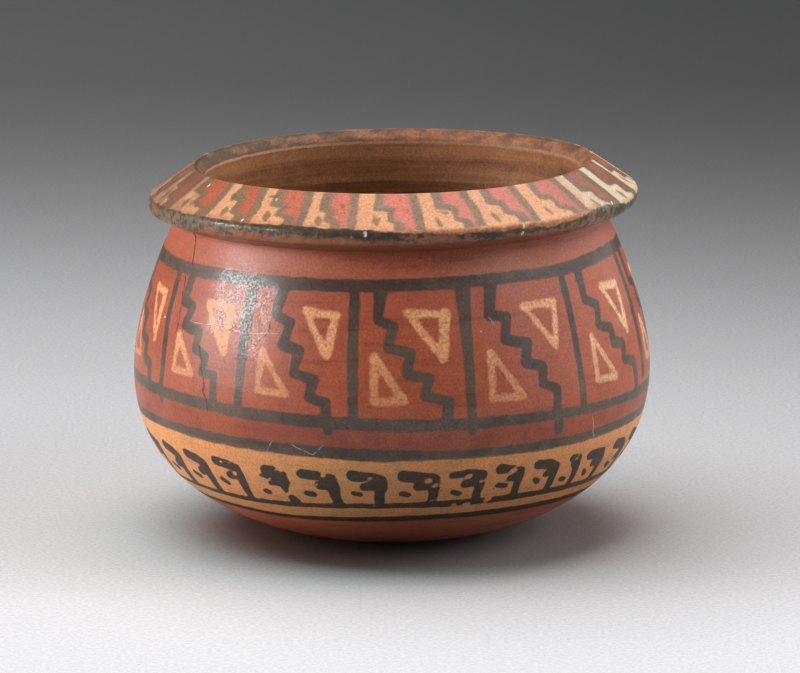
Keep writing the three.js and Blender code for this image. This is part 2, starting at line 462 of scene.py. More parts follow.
hollowCracks = [[(150, 51.5), (150.6, 48.6), (149.8, 46), (150.4, 43.5), (149.9, 41)]]
hollowScratches = [[(171, 49.8), (186, 49.4)], [(203, 50.2), (214, 50)], [(128, 48.2), (139, 48.5)]]

climbHeights = np.linspace(0, vessel["neckHeight"], 1200)
climbRun = runAlong(list(zip(wallRadius(climbHeights), climbHeights)))


# How far up the wall's own curve a height is, in mm
def wallClimb(height):
    return np.interp(height, climbHeights, climbRun)


def wallOutline():
    def curve(radiusAt, low, high):
        heights = low + (high - low) * np.linspace(0, 1, 900) ** 2
        return list(zip(radiusAt(heights), heights))
    foot = [(0, 0), (vessel["footRadius"], 0)]
    lowest = evenly(curve(wallRadius, 0, body["paintedLow"]), body["coarseSpacing"])
    painted = evenly(curve(wallRadius, body["paintedLow"], body["paintedHigh"]), body["fineSpacing"])
    neck = evenly(curve(wallRadius, body["paintedHigh"], vessel["neckHeight"]), body["coarseSpacing"] / 2)
    hollow = evenly(curve(hollowRadius, vessel["floor"], vessel["neckHeight"])[::-1], body["insideSpacing"])
    seam = [seamPoint, tuple(hollow[0])]
    return chain(evenly(foot, body["footSpacing"]), lowest, painted, neck, seam, hollow)


def jog(marks, shift, dice, loose):
    return [(a + shift + dice.uniform(-loose, loose), h + dice.uniform(-loose, loose) * 0.6, *rest)
            for a, h, *rest in marks]


def paintPanel(spots, drawing, start, dice, loose):
    line = jog(drawing["line"], start, dice, loose * 0.4)
    steps = jog(drawing["steps"], start, dice, loose)
    widths = [body["firstStep"]] + [dice.uniform(*body["stepBrush"]) for mark in steps[1:]]
    dark = strokes(spots, [line, [(a, h, w) for (a, h), w in zip(steps, widths)]])
    pale = unpainted(spots)
    for corners in (drawing["upper"], drawing["lower"]):
        corners = jog(corners, start, dice, loose)
        for i in range(3):
            (a0, h0, brush), (a1, h1, other) = corners[i - 1], corners[i]
            side = [(a0, h0, brush * dice.uniform(0.95, 1.1)), (a1, h1, brush * dice.uniform(0.85, 1))]
            pale = merge(pale, stroke(spots, side))
    return dark, pale


def paintHooks(spots, dice):
    black = merge(*[strokes(spots, lines) for lines in drawnHooks])
    firstEnd, lastEnd = drawnHooks[0][0][-1][0], drawnHooks[-1][0][-1][0]
    gap = (360 + firstEnd - lastEnd) / (backHooks + 1)
    for i in range(backHooks):
        again = drawnHooks[wholeHooks[i * 4 % len(wholeHooks)]]
        shift = lastEnd + gap * (i + 1) - again[0][-1][0] + dice.uniform(-0.5, 0.5)
        black = merge(black, strokes(spots, [jog(line, shift, dice, body["hookLoose"]) for line in again]))
    return black


def paintBody(piece, spots):
    dice = random.Random(body["seed"])
    outside = spots["along"] <= alongSeam
    spots["climb"], spots["climbAt"] = wallClimb(spots["height"]), wallClimb
    dark = merge(*[belt(spots, *bands[name]) for name in ("upper", "lower", "shelf")])
    pale = unpainted(spots)
    jobs = [(start, drawing, 0) for start, drawing in zip(frontPanels, panelDrawings)]
    jobs += [(start, panelDrawings[i], body["backLoose"]) for start, i in backPanels]
    for start, drawing, loose in jobs:
        lines, triangles = paintPanel(spots, drawing, start, dice, loose)
        dark, pale = merge(dark, lines), merge(pale, triangles)
    black = merge(belt(spots, *bands["ground"]), belt(spots, *bands["base"]), paintHooks(spots, dice))
    for angle, height, width in lostPaint:
        lost = stroke(spots, [(angle - 0.2, height - 0.1, width), (angle + 0.3, height, width)])
        black = np.minimum(black, -lost)
    shelf, base = [wallClimb(drift(spots, bands[name][0])) for name in ("shelf", "base")]
    above, below = body["buffGap"]
    buff = np.minimum(shelf - above - spots["climb"], spots["climb"] - base - below)
    for name, field in (("darkPaint", dark), ("palePaint", pale), ("blackPaint", black), ("buffPaint", buff)):
        addPaint(piece, name, np.where(outside, limited(field), -painting["limit"]))
    addHairlines(piece, spots, "crack", outside, wallCracks, hollowCracks)
    addHairlines(piece, spots, "scratch", outside, wallScratchesAndHighlightEdge, hollowScratches)
    addPaint(piece, "underBand", drift(spots, bands["lower"][0]) - spots["height"])
    addPaint(piece, "hollow", np.where(outside, 0, 1))
    addPaint(piece, "level", spots["height"])


seamPoint = (vessel["neckRadius"], vessel["neckHeight"])
outline = wallOutline()
alongSeam = runAlong(outline)[[i for i, p in enumerate(outline) if math.dist(p, seamPoint) < 1e-6][0]]
wallPiece = spinOutline("painted_wall", outline, closed=False)
wallPlaces = readPlaces(wallPiece)
paintBody(wallPiece, wallPlaces)
shapeByHand(wallPiece, wallPlaces)
print("wall spun and painted:", len(wallPiece.data.vertices), "points")


# Rim band

rim = {
    "undercutRise": 1.7,
    "edgeRadius": 39.5,
    "edgeDepth": 2.2,
    "bevelRise": 5.0,
    "lipRadius": 32.2,
    "throatRadius": 30.6,
    "throatDrop": 1.7,
    "edgeRounding": 1.0,
    "lipRounding": 0.5,
    "throatRounding": 0.9,
    "roundingCuts": 7,
    "fineSpacing": 0.29,
    "plainSpacing": 0.8,
    "seed": 17,
    "motifs": 25,  # repeats in a full turn
    "motifsFrom": -0.05,  # of the slope, which is 0 at the lip and 1 at the outer edge
    "motifsEnd": 1.13,
    "greyShift": 2.7,  # degrees between a pale step and the grey step behind it
    "greyLift": 0.13,
    "lineGap": 1.5,  # degrees from a pale bar to the grey line at its left
    "lineWidth": 1.6,
    "eyeWidth": 1.4,
    "slimEyeWidth": 0.9,
    "slimEyes": (5, 65),  # degrees between which the eyes are slim
    "feet": range(-4, 48, 8),  # at the right the pale paint runs on between the feet, from these angles
    # Values that change round the rim, each at an angle from the front
    "edgeStart": [(-80, 0.95), (-60, 0.93), (-48, 0.9), (-35, 0.9), (-20, 0.88), (-10, 0.9), (-4, 0.94),
                  (3, 0.98), (12, 1.04), (30, 1.07), (42, 1.08), (48, 1.04), (53, 0.93), (63, 0.94),
                  (68, 1.06), (80, 1.05), (130, 1), (200, 1.02), (250, 0.97)],
    "pinkness": [(-80, 0.3), (-60, 0.1), (-45, 0), (-25, 0.4), (-10, 0.8), (0, 1), (30, 1), (42, 0.6),
                 (55, 0.3), (80, 0.2), (130, 0.5), (180, 0.1), (230, 0.6)],
    "creaminess": [(-80, 0.25), (-62, 0), (48, 0), (55, 0.75), (62, 1), (80, 1), (120, 0.4), (180, 0.1),
                   (240, 0.3)],
    "darkening": [(-85, 1), (-74, 1), (-66, 0.7), (-58, 0.35), (-48, 0.1), (44, 0), (55, 0.55), (64, 0.8),
              (80, 0.8), (130, 0.3), (200, 0.5), (250, 0.6)],
    "edgeWear": [(-80, 0.35), (-50, 0.35), (-35, 0.4), (-15, 0.25), (0, 0.2), (5, 0.7), (12, 0.65),
                 (17, 0.15), (20, 1), (30, 0.9), (40, 0.75), (52, 0.5), (66, 0.2), (80, 0.3), (130, 0.6),
                 (180, 0.3), (220, 0.7), (260, 0.4)],
    "edgeDust": [(-80, 0.8), (-60, 1), (-45, 0.85), (-35, 0.5), (-20, 0.1), (0, 0), (30, 0.1), (45, 0.4),
                 (55, 1), (63, 0.8), (70, 0.3), (120, 0.5), (170, 0.1), (220, 0.6)],
    "soot": [(0, 0.4), (60, 0.45), (90, 0.35), (110, 0.45), (150, 0.3), (185, 0.45), (215, 0.7), (240, 0.9),
             (270, 1), (300, 0.7)],
    "throatShine": [(0, 0.2), (90, 0.2), (110, 0.6), (150, 0.3), (180, 0.5), (205, 1), (240, 1), (262, 0.8),
                    (285, 0.3)],
}

# Pale bars: left and right at the lip, left at the edge, first step and its right, second step and its right,
# then the eye's angle and its place on the slope
rimBars = [
    (-80.5, -78, -80.5, 0.47, -74, 0.78, -70, -75.4, 0.8),
    (-66, -64, -65.2, 0.45, -59, 0.75, -53.3, -61.2, 0.71),
    (-49.8, -46.9, -48.8, 0.42, -43.5, 0.76, -40, -44.8, 0.71),
    (-36.8, -33.3, -34.8, 0.46, -29.8, 0.74, -26, -31.6, 0.71),
    (-22, -19.3, -20.8, 0.52, -16.5, 0.79, -14, -17.7, 0.74),
    (-8.8, -5, -8.2, 0.48, -1.5, 0.78, 1, -3.9, 0.71),
    (6.8, 10.4, 7.8, 0.48, 14.6, 0.8, 16.9, 11, 0.77),
    (21, 24.2, 22.2, 0.46, 27.6, 0.76, 31, 25.3, 0.76),
    (36.1, 39.9, 36.6, 0.5, 43.3, 0.82, 47, 40.2, 0.77),
    (51.8, 55.5, 52.5, 0.55, 59.3, 0.88, 62, 56.8, 0.82),
    (66, 69.5, 66.4, 0.62, 74.5, 0.93, 77.5, 71, 0.87),
]
barLevels = (3, 5, 8)  # which values of a bar are places on the slope, the others being angles
wholeBars = 9  # bars after the first that can be used again at the back

# Chalky spots, and chips in the pale bars: degrees from the front, place on the slope, width
rimChalk = [
    [(-6.1, 1.0, 0.45), (-6, 1.06, 0.45)], [(-60.1, 0.17, 0.2), (-59.9, 0.22, 0.3)],
    [(-31.9, 0.27, 0.3), (-31.8, 0.31, 0.25)], [(31.2, 1.02, 0.3), (31.1, 1.05, 0.3)],
    [(31.0, 1.13, 0.35), (30.9, 1.16, 0.25)], [(-37.4, 0.86, 0.3), (-37.3, 0.89, 0.25)],
    [(-9.2, 1.07, 0.2), (-9, 1.09, 0.2)], [(58.8, 0.87, 0.25), (58.4, 0.92, 0.25)],
    [(62.8, 0.92, 0.3), (62.3, 0.96, 0.25)],
]
rimChips = [
    [(-34.2, 0.23, 0.6), (-32.4, 0.21, 0.8)], [(-59.6, 0.62, 0.35), (-58.4, 0.75, 0.3)],
    [(-13, 0.31, 0.5), (-12.6, 0.37, 0.6)], [(12.2, 0.53, 0.4), (13.6, 0.56, 0.5)],
    [(-46.6, 0.3, 0.9), (-45.4, 0.44, 0.6)],
]


def turned(point, centre, angle):
    c, s = math.cos(angle), math.sin(angle)
    x, y = point
    return (centre[0] + c * x - s * y, centre[1] + s * x + c * y)


def roundCorner(before, corner, after, radius):
    cuts = rim["roundingCuts"]
    toBefore = np.subtract(before, corner) / math.dist(before, corner)
    toAfter = np.subtract(after, corner) / math.dist(after, corner)
    half = math.acos(float(np.dot(toBefore, toAfter))) / 2
    longest = min(math.dist(before, corner), math.dist(after, corner)) * 0.45  # a side can have two roundings
    setback = min(radius / math.tan(half), longest)
    radius = setback * math.tan(half)
    inward = (toBefore + toAfter) / np.linalg.norm(toBefore + toAfter)
    centre = np.array(corner) + inward * radius / math.sin(half)
    start = np.array(corner) + toBefore * setback - centre
    end = np.array(corner) + toAfter * setback - centre
    sweep = math.atan2(start[0] * end[1] - start[1] * end[0], float(np.dot(start, end)))
    return [turned(start, centre, sweep * i / cuts) for i in range(cuts + 1)]


def rimOutline():
    neck, wide, high = vessel["neckRadius"], rim["edgeRadius"], vessel["rimHeight"]
    edgeLow = vessel["neckHeight"] + rim["undercutRise"]
    corners = [((neck, vessel["neckHeight"]), 0),
               ((wide, edgeLow), rim["edgeRounding"]),
               ((wide, edgeLow + rim["edgeDepth"]), rim["edgeRounding"]),
               ((rim["lipRadius"], high), rim["lipRounding"]),
               ((rim["throatRadius"], high - rim["throatDrop"]), rim["throatRounding"]),
               ((neck - vessel["neckWall"], vessel["neckHeight"]), 0)]
    under, shown, inner = [corners[0][0]], [], []
    for i, part in ((1, under), (2, shown), (3, shown), (4, inner)):
        part += roundCorner(corners[i - 1][0], corners[i][0], corners[i + 1][0], corners[i][1])
    inner = [shown[-1]] + inner + [corners[5][0]]
    throatEnd = rim["roundingCuts"] + 1  # where the throat's rounding ends and the plain inner side begins
    fine, plain = rim["fineSpacing"], rim["plainSpacing"]
    return chain(evenly(under + [shown[0]], fine * 1.3), evenly(shown, fine),
                 evenly(inner[:throatEnd + 1], fine), evenly(inner[throatEnd:], plain))


# All the bars in a full turn, the drawn ones and then their repeats, each with its looseness
def allBars(dice):
    bars = [(bar, 0) for bar in rimBars]
    first, last = rimBars[0][0], rimBars[-1][0]
    spare = rim["motifs"] - len(rimBars)
    gap = (360 + first - last) / (spare + 1)
    for i in range(spare):
        again = rimBars[1 + (i * 4) % wholeBars]
        shift = last + gap * (i + 1) - again[0] + dice.uniform(-0.6, 0.6)
        bars.append(([value if k in barLevels else value + shift for k, value in enumerate(again)], 1))
    return bars


def paintRim(piece, spots):
    dice = random.Random(rim["seed"])
    slope = math.hypot(rim["edgeRadius"] - rim["lipRadius"], rim["bevelRise"])
    lipRun = spots["along"][np.argmax(spots["height"])]
    spots["climb"] = lipRun - spots["along"]  # from the lip outwards and down
    spots["climbAt"] = lambda v: v * slope
    top, end = rim["motifsFrom"], rim["motifsEnd"]
    grey, pale, eyes = unpainted(spots), unpainted(spots), unpainted(spots)
    for (left, right, leftLow, stepOne, rightOne, stepTwo, rightTwo, eye, eyeLevel), loose in allBars(dice):
        shape = [(left, top), (right, top), (right + 0.2, stepOne - 0.02), (rightOne, stepOne + 0.04),
                 (rightOne, stepTwo - 0.04), (rightTwo - 0.7, stepTwo + 0.03), (rightTwo, end),
                 (leftLow, end), (leftLow, 0.5)]
        shape = [(a + dice.uniform(-loose, loose) * 0.4, v) for a, v in shape]
        behind, lift = rim["greyShift"] + dice.uniform(-0.4, 0.4), rim["greyLift"]
        back = [(left + 1, top), (right + behind, top), (right + behind, stepOne - lift - 0.04),
                (rightOne + behind * 0.8, stepOne - lift + 0.05), (rightOne + behind * 0.6, stepTwo - lift),
                (rightTwo + behind * 0.7, stepTwo - lift * 0.3), (rightTwo + behind * 0.8, end + 0.04),
                (leftLow + 1, end)]
        lineLow = leftLow - rim["lineGap"] * 0.8
        line = [(left - rim["lineGap"], top + 0.01, rim["lineWidth"]), (lineLow, 0.5, rim["lineWidth"]),
                (lineLow, end + 0.04, rim["lineWidth"])]
        slim = rim["slimEyes"][0] < eye < rim["slimEyes"][1]
        eyeWidth = rim["slimEyeWidth"] if slim else rim["eyeWidth"]
        mark = [(eye - 0.35, eyeLevel - 0.09, 0.6), (eye, eyeLevel, eyeWidth),
                (eye + 0.35, eyeLevel + 0.1, 0.6)]
        grey = merge(grey, patch(spots, back, 0.1), stroke(spots, line))
        pale = merge(pale, patch(spots, shape, 0.12))
        eyes = merge(eyes, stroke(spots, mark))
    pale = merge(pale, strokes(spots, [[(start, 1.0, 0.8), (start + 9, 1.02, 0.8)] for start in rim["feet"]]))
    eyes = merge(eyes, strokes(spots, rimChips))
    chalk = strokes(spots, rimChalk)
    for name, field in (("greyPaint", grey), ("palePaint", pale), ("eyePaint", eyes), ("chalk", chalk)):
        addPaint(piece, name, limited(field))
    addPaint(piece, "slope", spots["climb"] / slope)
    addPaint(piece, "pastEdge", spots["climb"] / slope - drift(spots, rim["edgeStart"]))
    for name in ("pinkness", "creaminess", "darkening", "edgeWear", "edgeDust", "soot", "throatShine"):
        addPaint(piece, name, drift(spots, rim[name]))


rimPiece = spinOutline("painted_rim", rimOutline(), closed=True)
rimPlaces = readPlaces(rimPiece)
paintRim(rimPiece, rimPlaces)
shapeByHand(rimPiece, rimPlaces)
print("rim spun and painted:", len(rimPiece.data.vertices), "points")


# Flat layouts for the bake: strips that follow the turning, each cut into equal lengths side by side

sheet = {
    "margin": 0.004,  # left empty at the border and between the strips, as shares of the sheet
    "gap": 0.005,
    "seamEnd": 0.01,  # a strip ends this many mm past the corner that bounds it
}


def unwrap(piece, spots, strips):
    mesh = piece.data
    corners = np.zeros(len(mesh.loops), np.int32)
    mesh.loops.foreach_get("vertex_index", corners)
    sizes = np.zeros(len(mesh.polygons), np.int32)
    mesh.polygons.foreach_get("loop_total", sizes)
    owner = np.repeat(np.arange(len(sizes)), sizes)
    turn = np.radians(spots["angle"][corners])
    run = spots["along"][corners]
    lastRun = run.max()
    spread = np.zeros(len(sizes))
    np.maximum.at(spread, owner, run)
    closing = (spread[owner] == lastRun) & (run < lastRun / 2)  # faces that close a ring run on past its end
    run = np.where(closing, lastRun + vessel["neckWall"], run)
    offAxis = spots["radius"][corners] > 1e-3
    sines, cosines = [np.bincount(owner, part(turn) * offAxis) for part in (np.sin, np.cos)]
    middle = np.arctan2(sines, cosines)[owner]
    bend = np.where(offAxis, (turn - middle + np.pi) % (2 * np.pi) - np.pi, 0)
    share = (middle + np.pi) / (2 * np.pi)
    centre = (np.bincount(owner, run) / sizes)[owner]
    u, v = np.zeros(len(corners)), np.zeros(len(corners))
    bottom, margin = sheet["margin"], sheet["margin"]
    for low, high, cuts, tall in strips:
        for cut in range(cuts):
            here = (centre >= low) & (centre < high)
            here &= (share >= cut / cuts) & (share < (cut + 1) / cuts + 1e-9)
            across = np.clip((share + bend / (2 * np.pi))[here] * cuts - cut, 0, 1)
            u[here] = margin + (1 - 2 * margin) * across
            v[here] = bottom + tall * (run[here] - low) / (high - low)
            bottom += tall + sheet["gap"]
    layer = mesh.uv_layers.new(name="OFBake")
    layer.data.foreach_set("uv", np.stack([u, v], 1).ravel().astype(np.float32))
    mesh.attributes.remove(mesh.attributes["along"])


# Each strip: its low and high end along the outline, how many lengths it is cut into, its height on the sheet
footEnd, seamEnd = vessel["footRadius"] + sheet["seamEnd"], alongSeam + sheet["seamEnd"]
wallEnd, rimEnd = float(wallPlaces["along"].max()), float(rimPlaces["along"].max())
wallStrips = [(0, footEnd, 1, 0.05), (footEnd, seamEnd, 2, 0.37), (seamEnd, wallEnd + 1, 1, 0.17)]
unwrap(wallPiece, wallPlaces, wallStrips)
unwrap(rimPiece, rimPlaces, [(0, rimEnd, 4, 0.23), (rimEnd, rimEnd + 9, 1, 0.03)])


# Shader helpers

def tint(red, green, blue):
    def linear(c):
        return ((c / 255 + 0.055) / 1.055) ** 2.4
    return (linear(red), linear(green), linear(blue), 1)


def feed(tree, node, sockets):
    for key, value in sockets.items():
        if isinstance(value, bpy.types.NodeSocket):
            tree.links.new(value, node.inputs[key])
        else:
            node.inputs[key].default_value = value
    return node


def put(tree, kind, sockets, **settings):
    node = tree.nodes.new("ShaderNode" + kind)
    for name, value in settings.items():
        setattr(node, name, value)
    return feed(tree, node, sockets)


def maths(tree, operation, a, b=0.0, clamp=False):
    return put(tree, "Math", {0: a, 1: b}, operation=operation, use_clamp=clamp).outputs[0]


def times(tree, value, *factors):
    for factor in factors:
        value = maths(tree, "MULTIPLY", value, factor)
    return value


def plus(tree, value, *others):
    for other in others:
        value = maths(tree, "ADD", value, other)
    return value


def minus(tree, a, b):
    return maths(tree, "SUBTRACT", a, b)


def larger(tree, a, b):
    return maths(tree, "MAXIMUM", a, b)


def scaled(tree, vector, factor):
    return put(tree, "VectorMath", {0: vector, 3: factor}, operation="SCALE").outputs[0]


def moved(tree, vector, shift):
    return put(tree, "VectorMath", {0: vector, 1: shift}, operation="ADD").outputs[0]


def stretch(tree, value, low, high, toLow=0.0, toHigh=1.0, smooth=True):
    sockets = {"Value": value, "From Min": low, "From Max": high, "To Min": toLow, "To Max": toHigh}
    kind = "SMOOTHSTEP" if smooth else "LINEAR"
    return put(tree, "MapRange", sockets, interpolation_type=kind).outputs["Result"]


def layOver(tree, factor, below, above, how="MIX"):
    return put(tree, "Mix", {0: factor, 6: below, 7: above}, data_type="RGBA", blend_type=how).outputs[2]


def noise(tree, vector, scale, detail=2.0, roughness=0.5, distortion=0.0):
    return put(tree, "TexNoise", {"Vector": vector, "Scale": scale, "Detail": detail, "Roughness": roughness,
                                  "Distortion": distortion}).outputs["Fac"]


# Noise that swings either side of 0
def waver(tree, *noiseSettings):
    return minus(tree, noise(tree, *noiseSettings), 0.5)


def attribute(tree, name):
    return put(tree, "Attribute", {}, attribute_name=name).outputs["Fac"]


def objectPlace(tree):
    return put(tree, "TexCoord", {}).outputs["Object"]


def makeGroup(name, inputs, outputs):
    group = bpy.data.node_groups.new(name, "ShaderNodeTree")
    for sockets, direction in ((inputs, "INPUT"), (outputs, "OUTPUT")):
        for label, kind, *value in sockets:
            socket = group.interface.new_socket(label, in_out=direction, socket_type="NodeSocket" + kind)
            if value:
                socket.default_value = value[0]
    return group, group.nodes.new("NodeGroupInput").outputs, group.nodes.new("NodeGroupOutput").inputs


def useGroup(tree, group, **sockets):
    node = tree.nodes.new("ShaderNodeGroup")
    node.node_tree = group
    return feed(tree, node, sockets).outputs


# Place on the vessel in mm, and the same drawn out along the turning for brush and burnish streaks
def makePlaceGroup():
    group, given, result = makeGroup(
        "place_on_vessel", [("Level", "Float"), ("Across", "Float", 0.12), ("Up", "Float", 1.6)],
        [("Place", "Vector"), ("Streak", "Vector")])
    place = scaled(group, objectPlace(group), 1 / mm)
    parts = put(group, "SeparateXYZ", {0: place}).outputs
    streak = put(group, "CombineXYZ", {0: times(group, parts[0], given["Across"]),
                                       1: times(group, parts[1], given["Across"]),
                                       2: times(group, given["Level"], given["Up"])}).outputs[0]
    group.links.new(place, result["Place"])
    group.links.new(streak, result["Streak"])
    return group


# Mask of a painted mark from its distance, with a wobbling edge and bristle-dry gaps
def makeMarkGroup():
    group, given, result = makeGroup(
        "brush_mark", [("Distance", "Float"), ("Place", "Vector"), ("Streak", "Vector"),
                       ("Wobble", "Float", 0.3), ("Softness", "Float", 0.12), ("Dryness", "Float", 0.2)],
        [("Mask", "Float")])
    broad = times(group, waver(group, given["Place"], 0.55, 2.0), 2.0)
    fine = times(group, waver(group, given["Place"], 2.6, 2.0, 0.6), 0.8)
    edge = plus(group, given["Distance"], times(group, plus(group, broad, fine), given["Wobble"]))
    mask = stretch(group, edge, times(group, given["Softness"], -1.0), given["Softness"])
    grain = times(group, noise(group, given["Place"], 2.0, 4.0, 0.75), 0.75)
    streak = times(group, noise(group, given["Streak"], 1.0, 3.0, 0.6), 0.25)
    dry = stretch(group, plus(group, grain, streak), 0.42, 0.64)
    thin = minus(group, 1.0, times(group, given["Dryness"], dry))
    group.links.new(times(group, mask, thin), result["Mask"])
    return group


# Sparse specks or pits: round spots in randomly chosen cells
def makeSpeckGroup():
    group, given, result = makeGroup(
        "specks", [("Place", "Vector"), ("Scale", "Float", 0.5), ("Share", "Float", 0.1),
                   ("Size", "Float", 0.2)], [("Mask", "Float")])
    warp = put(group, "TexNoise", {"Vector": given["Place"], "Scale": 1.9, "Detail": 1.0}).outputs["Color"]
    bent = moved(group, given["Place"], scaled(group, warp, 0.5))
    cells = put(group, "TexVoronoi", {"Vector": bent, "Scale": given["Scale"]}).outputs
    pick = put(group, "SeparateColor", {0: cells["Color"]}).outputs
    chosen = maths(group, "LESS_THAN", pick[0], given["Share"])
    size = times(group, given["Size"], stretch(group, pick[1], 0.0, 1.0, 0.35, 1.0, smooth=False))
    spot = stretch(group, cells["Distance"], times(group, size, 0.6), size, 1.0, 0.0)
    group.links.new(times(group, spot, chosen), result["Mask"])
    return group


# Burnished slip: three tones in cloudy patches and fine horizontal strokes
def makeSlipGroup():
    group, given, result = makeGroup(
        "burnished_slip", [("Place", "Vector"), ("Streak", "Vector"), ("Main", "Color"), ("Warm", "Color"),
                           ("Deep", "Color"), ("Cloudiness", "Float", 0.6), ("Streaking", "Float", 0.4)],
        [("Colour", "Color"), ("Height", "Float")])
    cloud = noise(group, given["Place"], 0.045, 3.0, 0.55, 0.4)
    mottle = noise(group, given["Place"], 0.35, 4.0, 0.6)
    stroke = noise(group, given["Streak"], 0.55, 4.0, 0.6)
    fine = noise(group, given["Place"], 3.0, 3.0, 0.7)
    warmth = stretch(group, plus(group, times(group, cloud, 0.75), times(group, mottle, 0.25)), 0.4, 0.62)
    colour = layOver(group, times(group, warmth, given["Cloudiness"]), given["Main"], given["Warm"])
    dark = times(group, stretch(group, stroke, 0.52, 0.74), given["Streaking"])
    colour = layOver(group, dark, colour, given["Deep"])
    grain = stretch(group, fine, 0.3, 0.7, 0.8, 1.2, smooth=False)
    patchy = stretch(group, mottle, 0.3, 0.7, 0.92, 1.08, smooth=False)
    sand = noise(group, given["Place"], 5.5, 2.0, 0.6)
    burnish = noise(group, given["Streak"], 2.4, 3.0, 0.6)
    height = plus(group, times(group, stroke, 0.03), times(group, fine, 0.032), times(group, sand, 0.016),
                  times(group, burnish, 0.015))
    group.links.new(scaled(group, colour, times(group, grain, patchy)), result["Colour"])
    group.links.new(height, result["Height"])
    return group


# Sandy grain that shows through every coat
def makeGrainGroup():
    group, given, result = makeGroup(
        "sandy_grain", [("Colour", "Color"), ("Place", "Vector"), ("Strength", "Float", 0.2)],
        [("Colour", "Color")])
    sand = stretch(group, noise(group, given["Place"], 2.6, 3.0, 0.7), 0.3, 0.7, -1.0, 1.0, smooth=False)
    speckle = plus(group, times(group, sand, given["Strength"]), 1.0)
    group.links.new(scaled(group, given["Colour"], speckle), result["Colour"])
    return group


# Light and dark bands where a cloth was drawn round the damp clay
def makeWipedGroup():
    group, given, result = makeGroup(
        "wiped_clay", [("Streak", "Vector"), ("Main", "Color"), ("Light", "Color"), ("Dark", "Color")],
        [("Colour", "Color")])
    light = stretch(group, noise(group, given["Streak"], 0.32, 4.0, 0.65), 0.42, 0.6, 0.0, 0.42)
    dark = stretch(group, noise(group, given["Streak"], 0.5, 3.0, 0.6), 0.52, 0.68, 0.0, 0.38)
    colour = layOver(group, light, given["Main"], given["Light"])
    group.links.new(layOver(group, dark, colour, given["Dark"]), result["Colour"])
    return group


placeGroup, markGroup, speckGroup = makePlaceGroup(), makeMarkGroup(), makeSpeckGroup()
slipGroup, grainGroup, wipedGroup = makeSlipGroup(), makeGrainGroup(), makeWipedGroup()


clayFinish = {  # what both pieces share
    "bareClay": (114, 73, 46),
    "bareWarm": (142, 92, 60),
    "bareDeep": (70, 44, 28),
    "bareWiped": (158, 108, 72),
    "paintRoughness": 0.5,
    "clayRoughness": 0.6,
}


def startMaterial(name, levelName, finish):
    look = {key: tint(*value) if isinstance(value, tuple) and len(value) == 3 else value
            for key, value in {**clayFinish, **finish}.items()}
    material = bpy.data.materials.new(name)
    material.use_nodes = True
    tree = material.node_tree
    tree.nodes.clear()
    shader = put(tree, "BsdfPrincipled", {"Specular IOR Level": look["sheen"],
                                          "Coat Roughness": look["polishRoughness"]})
    put(tree, "OutputMaterial", {0: shader.outputs[0]})
    level = attribute(tree, levelName)
    place = useGroup(tree, placeGroup, Level=level)
    return material, tree, shader, look, level, place["Place"], place["Streak"]


def finishMaterial(material, tree, shader, colour, rough, polish, height):
    bump = put(tree, "Bump", {"Strength": 0.8, "Distance": mm, "Height": height})
    feed(tree, shader, {"Base Color": colour, "Roughness": rough, "Coat Weight": polish,
                        "Normal": bump.outputs[0]})
    return material


def coat(tree, place, streak, main, warm, deep, cloudiness, streaking):
    return useGroup(tree, slipGroup, Place=place, Streak=streak, Main=main, Warm=warm, Deep=deep,
                    Cloudiness=cloudiness, Streaking=streaking)


def wipedClay(tree, place, streak, bands, look):
    bare = coat(tree, place, streak, look["bareClay"], look["bareWarm"], look["bareDeep"], 0.6, 0.85)
    return useGroup(tree, wipedGroup, Streak=bands, Main=bare["Colour"], Light=look["bareWiped"],
                    Dark=look["bareDeep"])["Colour"]


# How far each paint covers what is under it
def brushMarks(tree, place, streak, look):
    marks = {}
    for name, (wobble, softness, dryness) in look["brushes"].items():
        marks[name] = useGroup(tree, markGroup, Distance=attribute(tree, name), Place=place, Streak=streak,
                               Wobble=wobble, Softness=softness, Dryness=dryness)["Mask"]
    return marks


def hairMask(tree, name, place, width):
    side = plus(tree, attribute(tree, name + "Side"), times(tree, waver(tree, place, 1.6, 2.0), 0.4))
    off = maths(tree, "ABSOLUTE", side)
    line = stretch(tree, off, width * 0.4, width, 1.0, 0.0)
    thick = stretch(tree, noise(tree, place, 0.9, 2.0), 0.36, 0.5, 0.25, 1.0)
    return times(tree, line, thick, stretch(tree, attribute(tree, name + "Near"), 0.1, 0.45))


